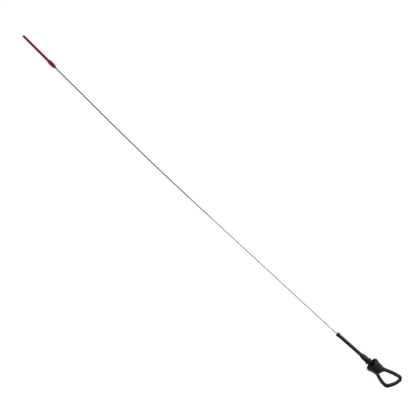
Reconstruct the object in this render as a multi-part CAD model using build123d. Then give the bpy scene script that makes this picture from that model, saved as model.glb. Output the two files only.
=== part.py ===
from build123d import *
import os
from math import asin, atan2, degrees, hypot, radians, tan

# Engine oil dipstick, in millimetres, as it comes to rest on a flat floor.
# The origin is on the stem's axis in the middle of the plug, +X runs along the stem towards the level tip
# and +Z is up. The hood's rim, one corner of the finger loop and the tip's bulb lie on the floor.

# Plug stem
PLUG_DIAMETER = 9.0
PLUG_LENGTH = 8.8
LEAD_CONE_LENGTH = 5.6
SLEEVE_DIAMETER = 5.8
SLEEVE_LENGTH = 48.8
COLLAR_DIAMETER = 6.9
COLLAR_LENGTH = 4.2
COLLAR_EDGE = 0.5
POCKET_LENGTH = 5.6
POCKET_WIDTH = 2.2
POCKET_DEPTH = 1.2
SHOULDER_LENGTH = 1.4
NECK_DIAMETER = 6.6
SPIGOT_DIAMETER = 5.4
SPIGOT_LENGTH = 4.0
STEM_EDGE = 0.25
PLUG_ROUND = 1.0
SLEEVE_ROUND = 4.0

# Seal ring and its groove
SEAL_CORD_DIAMETER = 2.6
SEAL_GROOVE_DIAMETER = 6.0
SEAL_GROOVE_WIDTH = 3.2

# Hood, a bell with a round lip; its front is dished, with a well round the stem's neck
HOOD_OFFSET = 12.7
HOOD_DIAMETER = 22.6
HOOD_LIP = 2.2
HOOD_BAND_LENGTH = 1.9
HOOD_FLARE_LENGTH = 10.4
HOOD_WAIST_DIAMETER = 18.4
HOOD_CROWN_RADIUS = 3.5
HOOD_DEPTH = 11.8
DISH_DEPTH = 3.0
DISH_TAPER = 0.3
DISH_ROUND = 1.0
WELL_GAP = 1.4
WELL_ROUND = 0.5

# Finger loop: its root is set back from the hood's floor, other places along it are measured from the lip
LOOP_LENGTH = 50.0
LOOP_ROOT_SETBACK = 0.5
LOOP_ROOT_WIDTH = 16.0
LOOP_ROOT_ROUND = 2.8
LOOP_NECK_START = 17.3
LOOP_NECK_WIDTH = 19.1
LOOP_NECK_ROUND = 25.0
LOOP_ARM_MIDDLE = 31.3
LOOP_ARM_WIDTH = 31.4
LOOP_ARM_ROUND = 40.0
LOOP_CORNER_START = 46.4
LOOP_WIDTH = 37.5
LOOP_CORNER_ROUND = 6.5
LOOP_END_ROUND = 40.0
LOOP_BAR = 4.0
LOOP_THICKNESS = 6.4
LOOP_EDGE = 1.8
LOOP_HOLE_START = 19.6
LOOP_HOLE_ROUND = 4.6
LOOP_HOLE_CORNER_ROUND = 3.6
LOOP_BLEND = 1.0

# In degrees: how far the loop's root and end lean against its arms, and the whole handle's turn on the stem
LOOP_SLANT = 4.2
HANDLE_SKEW = 2.6

# Rod: straight in the stem, a small bend at the sleeve's mouth, a long bow, straight into the tip.
# The bend and the bow are in degrees.
ROD_DIAMETER = 2.2
ROD_GRIP_IN_STEM = 56.0
ROD_GRIP_IN_TIP = 13.0
MOUTH_BEND = 1.44
MOUTH_BEND_RADIUS = 400.0
ROD_UPPER_RUN = 305.0
BOW_BEND = 2.23
BOW_RADIUS = 4400.0
ROD_LOWER_RUN = 121.8

# Level tip
TIP_LENGTH = 73.0
BULB_DIAMETER = 6.4
BULB_NOSE_LENGTH = 6.4
BULB_BODY_LENGTH = 7.3
BULB_SHOULDER_LENGTH = 6.0
BULB_ROUND = 8.0
BULB_ENTRY_DIAMETER = 2.8
BLADE_ROOT_WIDTH = 4.2
BLADE_END_WIDTH = 3.8
BLADE_THICKNESS = 2.8
BLADE_EDGE = 0.9
MIN_MARK = 14.0
MAX_MARK = 36.0
MARK_RADIUS = 0.5
HATCH_COUNT = 10
HATCH_WIDTH = 0.8
HATCH_DEPTH = 0.3

# Shares that a rounding may take: of a straight run or a bar's width, and of a step's height
RUN_SHARE = 0.45
STEP_SHARE = 0.9

# Fits
ROD_CLEARANCE = 0.02
SPIGOT_CLEARANCE = 0.02
SEAL_CLEARANCE = 0.02

# Places along the stem, worked out from the sizes above
PLUG_FRONT = PLUG_LENGTH / 2
SLEEVE_START = PLUG_FRONT + LEAD_CONE_LENGTH
MOUTH = SLEEVE_START + SLEEVE_LENGTH
GROOVE_FRONT = -PLUG_LENGTH / 2
GROOVE_BACK = GROOVE_FRONT - SEAL_GROOVE_WIDTH
SHOULDER_BACK = GROOVE_BACK - SHOULDER_LENGTH
LIP = -HOOD_OFFSET
HOOD_FLOOR = LIP - HOOD_DEPTH
FLARE_START = LIP - HOOD_LIP / 2 - HOOD_BAND_LENGTH
WAIST = FLARE_START - HOOD_FLARE_LENGTH
CROWN = WAIST - HOOD_CROWN_RADIUS
FLOOR_DROP = HOOD_DIAMETER / 2

# Corners of one side of the loop's outline, from the hood to its end: place, half width and rounding
LOOP_CORNERS = [
    (LIP - LOOP_NECK_START, LOOP_NECK_WIDTH / 2, LOOP_NECK_ROUND),
    (LIP - LOOP_ARM_MIDDLE, LOOP_ARM_WIDTH / 2, LOOP_ARM_ROUND),
    (LIP - LOOP_CORNER_START, LOOP_WIDTH / 2, LOOP_CORNER_ROUND),
    (LIP - LOOP_LENGTH, 0, LOOP_END_ROUND),
]


def points_and_radii(corners):
    """Points of (x, y, rounding) corners and their radii, none larger than the two runs beside it allow."""
    points = [Vector(x, y) for x, y, _ in corners]
    radii = []
    for i, (_, _, rounding) in enumerate(corners):
        back, ahead = points[i - 1] - points[i], points[(i + 1) % len(points)] - points[i]
        turn = 180 - back.get_angle(ahead)
        radii.append(min(rounding, RUN_SHARE * min(back.length, ahead.length) / tan(radians(turn / 2))))
    return points, radii


def rounded_run(corners):
    """Open line through (x, y, rounding) corners."""
    points, radii = points_and_radii(corners)
    return FilletPolyline(*points, radius=radii[1:-1])


def rounded_outline(corners):
    """Closed outline through (x, y, rounding) corners."""
    points, radii = points_and_radii(corners)
    return make_face(FilletPolyline(*points, radius=radii, close=True))


def mirrored_outline(corners, slant=0):
    """Closed outline through (x, half width, rounding) corners and their mirror images, at a slant."""
    both = corners + [(x, -y, rounding) for x, y, rounding in reversed(corners) if y]
    return rounded_outline([(x + y * tan(radians(slant)), y, rounding) for x, y, rounding in both])


def round_bar(diameter, start, end):
    """Cylinder on the X axis between two places."""
    return Pos((start + end) / 2, 0, 0) * Cylinder(diameter / 2, end - start, rotation=(0, 90, 0))


def hood():
    """Bell with a round lip, flare, waist and rounded crown; its front is a dish for the tube's mouth."""
    rim, waist, mouth = HOOD_DIAMETER / 2, HOOD_WAIST_DIAMETER / 2, HOOD_DIAMETER / 2 - HOOD_LIP
    nose, dish = LIP - HOOD_LIP / 2, LIP - DISH_DEPTH
    outline = [
        rounded_run([(dish, 0, 0), (dish, mouth - DISH_TAPER, DISH_ROUND), (nose, mouth, 0)]),
        ThreePointArc((nose, mouth), (LIP, rim - HOOD_LIP / 2), (nose, rim)),
        Line((nose, rim), (FLARE_START, rim)),
        TangentArc((WAIST, waist), (FLARE_START, rim), tangent=(1, 0)),
        TangentArc((WAIST, waist), (CROWN, waist - HOOD_CROWN_RADIUS), tangent=(-1, 0)),
        Polyline((CROWN, waist - HOOD_CROWN_RADIUS), (CROWN, 0), (dish, 0)),
    ]
    return revolve(Plane.XZ * make_face(outline), Axis.X)


def loop_outline():
    """Plan of the loop without its hole: root in the hood, flaring arms, round corners, bowed end."""
    root = (HOOD_FLOOR - LOOP_ROOT_SETBACK, LOOP_ROOT_WIDTH / 2, LOOP_ROOT_ROUND)
    return mirrored_outline([root] + LOOP_CORNERS, LOOP_SLANT)


def inset(before, at, after):
    """Corner of the loop's hole, a bar's width inside a corner of its outline."""
    first, second = ((b - a).normalized().rotate(Axis.Z, 90) for a, b in ((before, at), (at, after)))
    return at + (first + second) * (LOOP_BAR / (1 + first.dot(second)))


def loop_hole():
    """Plan of the finger hole: its arms, corners and end follow the loop's outline."""
    neck, arm, corner, end = (Vector(x, y) for x, y, _ in LOOP_CORNERS)
    arm_in = inset(neck, arm, corner)
    start = LIP - LOOP_HOLE_START
    front = arm_in + (arm - neck) * ((start - arm_in.X) / (arm.X - neck.X))
    corner_in = inset(arm, corner, end)
    end_in = inset(corner, end, Vector(corner.X, -corner.Y))
    return mirrored_outline(
        [
            (front.X, front.Y, LOOP_HOLE_ROUND),
            (arm_in.X, arm_in.Y, LOOP_ARM_ROUND - LOOP_BAR),
            (corner_in.X, corner_in.Y, LOOP_HOLE_CORNER_ROUND),
            (end_in.X, 0, LOOP_END_ROUND - LOOP_BAR),
        ],
        LOOP_SLANT,
    )


def skewed(shape):
    """The handle stands slightly askew on the stem, turned in the loop's plane about the lip's centre."""
    return Pos(LIP, 0, 0) * Rot(Z=HANDLE_SKEW) * Pos(-LIP, 0, 0) * shape


def loop():
    """Flat ring of even width and rounded section."""
    ring = extrude(loop_outline() - loop_hole(), LOOP_THICKNESS / 2, both=True)
    faces = ring.faces().sort_by(Axis.Z)
    return fillet(faces[0].edges() + faces[-1].edges(), min(LOOP_EDGE, RUN_SHARE * LOOP_BAR))


def roll():
    """Angle about the stem's axis at which the loop's low corner comes down to the floor."""
    reach = skewed(loop_outline()).bounding_box().max.Y - LOOP_EDGE
    depth = LOOP_THICKNESS / 2 - LOOP_EDGE
    return degrees(asin((FLOOR_DROP - LOOP_EDGE) / hypot(reach, depth)) - atan2(depth, reach))


def handle():
    """Finger loop and hood, one moulding, with a well for the stem's neck and a socket for its spigot."""
    bell, ring = hood(), loop()
    joined = bell + ring
    solid = skewed(fillet(new_edges(bell, ring, combined=joined), LOOP_BLEND))
    bore = round_bar(NECK_DIAMETER + 2 * WELL_GAP, HOOD_FLOOR, LIP)
    bore += round_bar(SPIGOT_DIAMETER + 2 * SPIGOT_CLEARANCE, HOOD_FLOOR - SPIGOT_LENGTH, HOOD_FLOOR)
    body = solid - bore
    well_mouth = new_edges(solid, bore, combined=body).sort_by(Axis.X)[-1]
    return Rot(X=-roll()) * fillet(well_mouth, WELL_ROUND)


def plug_stem():
    """Spigot, neck, shoulder, seal groove, plug, cone, sleeve and collar, with the rod's blind bore."""
    plug, sleeve, neck = PLUG_DIAMETER / 2, SLEEVE_DIAMETER / 2, NECK_DIAMETER / 2
    spigot, groove, collar = SPIGOT_DIAMETER / 2, SEAL_GROOVE_DIAMETER / 2, COLLAR_DIAMETER / 2
    spigot_end = HOOD_FLOOR - SPIGOT_LENGTH + SPIGOT_CLEARANCE
    collar_back = MOUTH - COLLAR_LENGTH
    collar_edge = min(COLLAR_EDGE, STEP_SHARE * (collar - sleeve))
    outline = rounded_outline(
        [
            (spigot_end, 0, 0),
            (spigot_end, spigot, STEM_EDGE),
            (HOOD_FLOOR, spigot, 0),
            (HOOD_FLOOR, neck, 0),
            (SHOULDER_BACK, neck, STEM_EDGE),
            (SHOULDER_BACK, plug, STEM_EDGE),
            (GROOVE_BACK, plug, STEM_EDGE),
            (GROOVE_BACK, groove, 0),
            (GROOVE_FRONT, groove, 0),
            (GROOVE_FRONT, plug, STEM_EDGE),
            (PLUG_FRONT, plug, PLUG_ROUND),
            (SLEEVE_START, sleeve, SLEEVE_ROUND),
            (collar_back, sleeve, 0),
            (collar_back, collar, collar_edge),
            (MOUTH, collar, collar_edge),
            (MOUTH, 0, 0),
        ]
    )
    stem = revolve(outline, Axis.X)
    pocket = Box(POCKET_LENGTH, POCKET_WIDTH, 2 * POCKET_DEPTH)
    for side in (1, -1):
        stem -= Rot(X=-roll()) * Pos(0, 0, side * plug) * pocket
    return stem - round_bar(ROD_DIAMETER + 2 * ROD_CLEARANCE, MOUTH - ROD_GRIP_IN_STEM, MOUTH)


def seal_ring():
    """Rubber ring that fills the groove's floor and stands proud of the plug."""
    cord = SEAL_CORD_DIAMETER / 2
    middle = SEAL_GROOVE_DIAMETER / 2 + SEAL_CLEARANCE + cord
    return Pos((GROOVE_FRONT + GROOVE_BACK) / 2, 0, 0) * Torus(middle, cord, rotation=(0, 90, 0))


def rod_run():
    """The rod's centre line in its own plane, from the stem's bore to the start of the tip."""
    start = Line((MOUTH - ROD_GRIP_IN_STEM, 0), (MOUTH, 0))
    bend = JernArc(start @ 1, start % 1, MOUTH_BEND_RADIUS, MOUTH_BEND)
    upper = Line(bend @ 1, bend @ 1 + bend % 1 * ROD_UPPER_RUN)
    bow = JernArc(upper @ 1, upper % 1, BOW_RADIUS, BOW_BEND)
    lower = Line(bow @ 1, bow @ 1 + bow % 1 * ROD_LOWER_RUN)
    return [start, bend, upper, bow, lower]


def bow_plane():
    """Plane of the bowed rod, tipped about the stem's axis until the bulb's far end touches the floor."""
    last = rod_run()[-1]
    bulb_end = last @ 1 + last % 1 * (BULB_NOSE_LENGTH + BULB_BODY_LENGTH)
    dip = degrees(asin((FLOOR_DROP - BULB_DIAMETER / 2) / bulb_end.Y))
    return Plane.XY.rotated((180 + dip, 0, 0))


def rod():
    """Steel wire swept along its bowed centre line."""
    run = rod_run()
    grip = Line(run[-1] @ 1, run[-1] @ 1 + run[-1] % 1 * (ROD_GRIP_IN_TIP - ROD_CLEARANCE))
    path = Wire(run + [grip])
    section = Plane(origin=path @ 0, z_dir=path % 0) * Circle(ROD_DIAMETER / 2)
    return bow_plane().location * sweep(section, path)


def tip_plane():
    """Plane at the end of the rod's free run: X along the tip, Y level with the floor."""
    last = bow_plane().location * rod_run()[-1]
    along = last % 1
    return Plane(origin=last @ 1, x_dir=along, z_dir=along.cross(Vector(0, 0, 1).cross(along)))


def level_tip():
    """Guide bulb and level blade, one moulding, with the bore for the rod and the level marks."""
    bulb, blade, entry = BULB_DIAMETER / 2, BLADE_THICKNESS / 2, BULB_ENTRY_DIAMETER / 2
    body_end = BULB_NOSE_LENGTH + BULB_BODY_LENGTH
    bulb_end = body_end + BULB_SHOULDER_LENGTH
    outline = [
        Polyline((bulb_end, 0), (0, 0), (0, entry)),
        TangentArc((BULB_NOSE_LENGTH, bulb), (0, entry), tangent=(-1, 0)),
        rounded_run([(BULB_NOSE_LENGTH, bulb, 0), (body_end, bulb, BULB_ROUND), (bulb_end, blade, 0)]),
        Line((bulb_end, blade), (bulb_end, 0)),
    ]
    tip = revolve(make_face(outline), Axis.X)
    strip = mirrored_outline(
        [
            (body_end, BLADE_ROOT_WIDTH / 2, 0),
            (TIP_LENGTH, BLADE_END_WIDTH / 2, RUN_SHARE * BLADE_END_WIDTH),
        ]
    )
    strip = extrude(strip, BLADE_THICKNESS / 2, both=True)
    faces = strip.faces().sort_by(Axis.Z)
    tip += fillet(faces[0].edges() + faces[-1].edges(), BLADE_EDGE)
    for mark in (MIN_MARK, MAX_MARK):
        for side in (1, -1):
            notch = Cylinder(MARK_RADIUS, BLADE_THICKNESS)
            tip -= Pos(TIP_LENGTH - mark, side * BLADE_ROOT_WIDTH / 2, 0) * notch
    pitch = (MAX_MARK - MIN_MARK) / (HATCH_COUNT + 1)
    groove = Box(HATCH_WIDTH, BLADE_END_WIDTH - 2 * BLADE_EDGE, 2 * HATCH_DEPTH)
    for i in range(HATCH_COUNT):
        for side in (1, -1):
            tip -= Pos(TIP_LENGTH - MIN_MARK - pitch * (i + 1), 0, side * blade) * groove
    tip -= round_bar(ROD_DIAMETER + 2 * ROD_CLEARANCE, 0, ROD_GRIP_IN_TIP)
    return tip_plane().location * tip


os.makedirs("parts", exist_ok=True)
for build in (handle, plug_stem, seal_ring, rod, level_tip):
    export_step(build(), f"parts/{build.__name__}.step")
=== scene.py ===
import bpy
from math import pi, radians
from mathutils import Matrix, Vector


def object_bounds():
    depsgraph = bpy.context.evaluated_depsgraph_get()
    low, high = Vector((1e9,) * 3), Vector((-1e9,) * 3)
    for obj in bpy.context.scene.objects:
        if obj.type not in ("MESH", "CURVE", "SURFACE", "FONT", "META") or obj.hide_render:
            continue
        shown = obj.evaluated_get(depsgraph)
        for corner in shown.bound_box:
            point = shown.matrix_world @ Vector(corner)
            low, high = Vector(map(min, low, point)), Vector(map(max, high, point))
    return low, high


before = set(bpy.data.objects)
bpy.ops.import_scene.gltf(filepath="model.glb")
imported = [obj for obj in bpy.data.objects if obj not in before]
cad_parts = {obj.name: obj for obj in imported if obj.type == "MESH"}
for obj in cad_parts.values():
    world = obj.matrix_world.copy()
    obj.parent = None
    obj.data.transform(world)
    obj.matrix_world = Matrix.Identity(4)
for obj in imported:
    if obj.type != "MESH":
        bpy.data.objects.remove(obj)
cad_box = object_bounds()

# Camera, in metres and degrees: straight down on the dipstick, the stem running to the upper left
CAMERA_PLACE = Vector((0.3400, -0.0145, 0.8486))
CAMERA_TURN = 221.3
CAMERA_LENS = 47.0

# Floor: width in metres, its glow and its share of the light as the eye sees it, and its tone to other rays
FLOOR_SIZE = 40.0
FLOOR_WHITE = 0.83
FLOOR_SHADE = 0.25
FLOOR_ALBEDO = 0.80

# Even light from all round
AMBIENT = 0.70

# Softbox beside the handle, in metres; its far end is half way along the rod
KEY_LIGHT = {
    "place": Vector((-0.07, -0.72, 0.70)),
    "aim": Vector((-0.07, 0.0, 0.0)),
    "width": 0.84,
    "height": 1.40,
    "radiance": 2.0,
}

# Dim room that shiny pieces mirror: a ceiling, a wall past the handle's end and one across from the softbox
ROOM_LOW = Vector((-0.8, -7.0, 0.0))
ROOM_HIGH = Vector((7.0, 1.0, 1.9))
ROOM_TONE = 0.05
# Above this height the wall past the handle glows lighter: painted light standing in for a wash of light on
# that wall
WASH_HEIGHT = 0.55
PAINTED_WASH_TONE = 0.45

# Moulded pieces: material, darkest and lightest tone, gloss, range of roughness, depth of grain in mm
MOULDED = {
    "handle": ("handle_plastic", (0.007, 0.007, 0.007), (0.010, 0.010, 0.010), 0.22, (0.38, 0.50), 0.03),
    "plug_stem": ("stem_plastic", (0.006, 0.006, 0.006), (0.009, 0.009, 0.009), 0.30, (0.15, 0.23), 0.02),
    "seal_ring": ("seal_rubber", (0.006, 0.006, 0.006), (0.008, 0.008, 0.008), 0.30, (0.60, 0.72), 0.02),
    "level_tip": ("tip_plastic", (0.150, 0.008, 0.013), (0.205, 0.011, 0.018), 0.30, (0.36, 0.48), 0.02),
}

# Their mottle, dull patches and grain, in features per mm, and how strongly the grain shows
MOTTLE_SCALE = 0.16
GLOSS_PATCH_SCALE = 0.7
GRAIN_SCALE = 3.2
GRAIN_STRENGTH = 0.35

# Steel wire: darkest and lightest tone, range of roughness, patches in features per mm
WIRE_TONES = ((0.45, 0.485, 0.475), (0.52, 0.55, 0.54))
WIRE_ROUGH = (0.22, 0.34)
WIRE_PATCH_SCALE = 0.05

# Its drawing lines: features per mm across the wire, the share of that along it, strength, and depth in mm
LINE_SCALE = 6.0
LINE_STRETCH = 0.02
LINE_STRENGTH = 0.3
LINE_DEPTH = 0.01

# Noise: its detail, and the middle of its values, which is spread over a range
NOISE_DETAIL = 3.0
NOISE_MIDDLE = (0.3, 0.7)

MM_PER_METRE = 1000.0
WHITE = (1.0, 1.0, 1.0, 1.0)


def add(tree, kind, **inputs):
    """New shader node with its input sockets set by name; spaces in a socket's name are written as _."""
    node = tree.nodes.new(kind)
    for name, value in inputs.items():
        node.inputs[name.replace("_", " ")].default_value = value
    return node


def empty_tree(owner):
    """Gives a material or a world a node tree with nothing in it."""
    owner.use_nodes = True
    owner.node_tree.nodes.clear()
    return owner.node_tree


def principled_material(name):
    """Material with a Principled shader; gives the material, its tree and the shader."""
    material = bpy.data.materials.new(name)
    material.use_nodes = True
    return material, material.node_tree, material.node_tree.nodes["Principled BSDF"]


def surface_mm(tree, scale=(1.0, 1.0, 1.0)):
    """Place on the object in millimetres, stretched per axis."""
    place = add(tree, "ShaderNodeTexCoord")
    mapping = add(tree, "ShaderNodeMapping", Scale=[MM_PER_METRE * s for s in scale])
    tree.links.new(place.outputs["Object"], mapping.inputs["Vector"])
    return mapping.outputs["Vector"]


def noise(tree, where, scale):
    """Noise from 0 to 1, with scale in features per millimetre."""
    node = add(tree, "ShaderNodeTexNoise", Scale=scale, Detail=NOISE_DETAIL)
    tree.links.new(where, node.inputs["Vector"])
    return node.outputs["Fac"]


def spread(tree, value, low, high):
    """Maps the middle of a noise to the range from low to high."""
    first, last = NOISE_MIDDLE
    node = add(tree, "ShaderNodeMapRange", From_Min=first, From_Max=last, To_Min=low, To_Max=high)
    tree.links.new(value, node.inputs["Value"])
    return node.outputs["Result"]


def shade(tree, value, dark, light):
    """Colour between two tones."""
    node = add(tree, "ShaderNodeMix")
    node.data_type = "RGBA"
    node.inputs["A"].default_value = (*dark, 1)
    node.inputs["B"].default_value = (*light, 1)
    tree.links.new(value, node.inputs["Factor"])
    return node.outputs["Result"]


def bump(tree, shader, height, strength, depth_mm):
    """Surface relief of that depth in millimetres."""
    node = add(tree, "ShaderNodeBump", Strength=strength, Distance=depth_mm / MM_PER_METRE)
    tree.links.new(height, node.inputs["Height"])
    tree.links.new(node.outputs["Normal"], shader.inputs["Normal"])


def moulded_plastic(name, dark, light, gloss, rough, grain_depth):
    """Moulded plastic or rubber: faint mottle in colour and gloss, and the fine grain of an eroded mould."""
    material, tree, shader = principled_material(name)
    shader.inputs["Specular IOR Level"].default_value = gloss
    where = surface_mm(tree)
    mottle = noise(tree, where, MOTTLE_SCALE)
    tree.links.new(shade(tree, mottle, dark, light), shader.inputs["Base Color"])
    dulling = noise(tree, where, GLOSS_PATCH_SCALE)
    tree.links.new(spread(tree, dulling, *rough), shader.inputs["Roughness"])
    bump(tree, shader, noise(tree, where, GRAIN_SCALE), GRAIN_STRENGTH, grain_depth)
    return material


def drawn_wire(name):
    """Bright drawn steel wire: fine lines along its length, and slight changes of tone in patches."""
    material, tree, shader = principled_material(name)
    shader.inputs["Metallic"].default_value = 1.0
    lines = noise(tree, surface_mm(tree, (LINE_STRETCH, 1.0, 1.0)), LINE_SCALE)
    patches = noise(tree, surface_mm(tree), WIRE_PATCH_SCALE)
    tree.links.new(shade(tree, patches, *WIRE_TONES), shader.inputs["Base Color"])
    tree.links.new(spread(tree, lines, *WIRE_ROUGH), shader.inputs["Roughness"])
    bump(tree, shader, lines, LINE_STRENGTH, LINE_DEPTH)
    return material


def dress(node, material):
    """Gives a solid its finish."""
    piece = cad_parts[node]
    piece.data.materials.clear()
    piece.data.materials.append(material)


def seen_directly(tree):
    """1 for rays from the camera and for rays that a shiny or clear surface sends on, else 0."""
    rays = add(tree, "ShaderNodeLightPath")
    either = rays.outputs["Is Camera Ray"]
    for name in ("Is Glossy Ray", "Is Transmission Ray"):
        node = add(tree, "ShaderNodeMath")
        node.operation = "MAXIMUM"
        tree.links.new(either, node.inputs[0])
        tree.links.new(rays.outputs[name], node.inputs[1])
        either = node.outputs["Value"]
    return either


def by_ray(tree, seen, other):
    """One shader for what is seen directly and another for all other rays."""
    mix = add(tree, "ShaderNodeMixShader")
    tree.links.new(seen_directly(tree), mix.inputs["Fac"])
    tree.links.new(other, mix.inputs[1])
    tree.links.new(seen, mix.inputs[2])
    return mix.outputs["Shader"]


def grey(tone):
    """Neutral colour of that tone."""
    return (tone, tone, tone, 1)


def floor_white():
    """White to the eye, with the object's shadow on it, and pale to other rays."""
    material = bpy.data.materials.new("floor_white")
    tree = empty_tree(material)
    pale = add(tree, "ShaderNodeBsdfDiffuse", Color=grey(FLOOR_ALBEDO))
    shaded = add(tree, "ShaderNodeBsdfDiffuse", Color=grey(FLOOR_SHADE))
    glow = add(tree, "ShaderNodeEmission", Color=WHITE, Strength=FLOOR_WHITE)
    white = add(tree, "ShaderNodeAddShader")
    tree.links.new(shaded.outputs["BSDF"], white.inputs[0])
    tree.links.new(glow.outputs["Emission"], white.inputs[1])
    out = add(tree, "ShaderNodeOutputMaterial")
    tree.links.new(by_ray(tree, white.outputs["Shader"], pale.outputs["BSDF"]), out.inputs["Surface"])
    return material


def make_floor(height):
    """Wide plain floor under the object."""
    bpy.ops.mesh.primitive_plane_add(size=FLOOR_SIZE, location=(CAMERA_PLACE.x, CAMERA_PLACE.y, height))
    floor = bpy.context.object
    floor.name = "floor"
    floor.data.materials.append(floor_white())


def glowing(name, tone):
    """Material that glows evenly."""
    material = bpy.data.materials.new(name)
    tree = empty_tree(material)
    glow = add(tree, "ShaderNodeEmission", Color=WHITE, Strength=tone)
    out = add(tree, "ShaderNodeOutputMaterial")
    tree.links.new(glow.outputs["Emission"], out.inputs["Surface"])
    return material


def make_panel(name, corners, tone):
    """Flat part of the room, which only shiny surfaces see."""
    mesh = bpy.data.meshes.new(name)
    mesh.from_pydata(corners, [], [range(len(corners))])
    mesh.materials.append(glowing(name + "_glow", tone))
    panel = bpy.data.objects.new(name, mesh)
    bpy.context.scene.collection.objects.link(panel)
    for ray in ("camera", "diffuse", "transmission", "shadow"):
        setattr(panel, "visible_" + ray, False)


def make_room():
    """Dim ceiling and walls; the wall past the handle glows lighter above the wash height, painted light for
    a wall lit from above.
    """
    (x0, y0, z0), (x1, y1, z1) = ROOM_LOW, ROOM_HIGH
    wash = WASH_HEIGHT
    make_panel("ceiling", [(x0, y0, z1), (x0, y1, z1), (x1, y1, z1), (x1, y0, z1)], ROOM_TONE)
    make_panel("far_wall", [(x0, y1, z0), (x1, y1, z0), (x1, y1, z1), (x0, y1, z1)], ROOM_TONE)
    make_panel("end_wall_low", [(x0, y0, z0), (x0, y1, z0), (x0, y1, wash), (x0, y0, wash)], ROOM_TONE)
    # Painted light: the upper part of the end wall glows brighter in place of light falling on it from above
    make_panel("end_wall_painted_wash", [(x0, y0, wash), (x0, y1, wash), (x0, y1, z1), (x0, y0, z1)], PAINTED_WASH_TONE)


def make_world():
    """White to the eye and in shiny surfaces, and a soft even light to everything else."""
    world = bpy.data.worlds.new("studio")
    bpy.context.scene.world = world
    tree = empty_tree(world)
    ambient = add(tree, "ShaderNodeBackground", Color=WHITE, Strength=AMBIENT)
    white = add(tree, "ShaderNodeBackground", Color=WHITE, Strength=1.0)
    out = add(tree, "ShaderNodeOutputWorld")
    background = by_ray(tree, white.outputs["Background"], ambient.outputs["Background"])
    tree.links.new(background, out.inputs["Surface"])


def make_softbox(name, place, aim, width, height, radiance):
    """Evenly glowing rectangular lamp; its power follows from its radiance and its area."""
    light = bpy.data.lights.new(name, "AREA")
    light.shape = "RECTANGLE"
    light.size, light.size_y = width, height
    light.energy = radiance * width * height * pi
    lamp = bpy.data.objects.new(name, light)
    lamp.location = place
    lamp.rotation_euler = (aim - place).to_track_quat("-Z", "Y").to_euler()
    bpy.context.scene.collection.objects.link(lamp)


def make_camera():
    """Straight-down camera of the photograph."""
    camera = bpy.data.objects.new("camera", bpy.data.cameras.new("camera"))
    camera.data.lens = CAMERA_LENS
    camera.location = CAMERA_PLACE
    camera.rotation_euler = (0, 0, radians(CAMERA_TURN))
    bpy.context.scene.collection.objects.link(camera)
    bpy.context.scene.camera = camera


for node, finish in MOULDED.items():
    dress(node, moulded_plastic(*finish))
dress("rod", drawn_wire("rod_steel"))
make_floor(cad_box[0].z)
make_room()
make_world()
make_softbox("key", **KEY_LIGHT)
make_camera()
bpy.context.scene.view_settings.view_transform = "Standard"
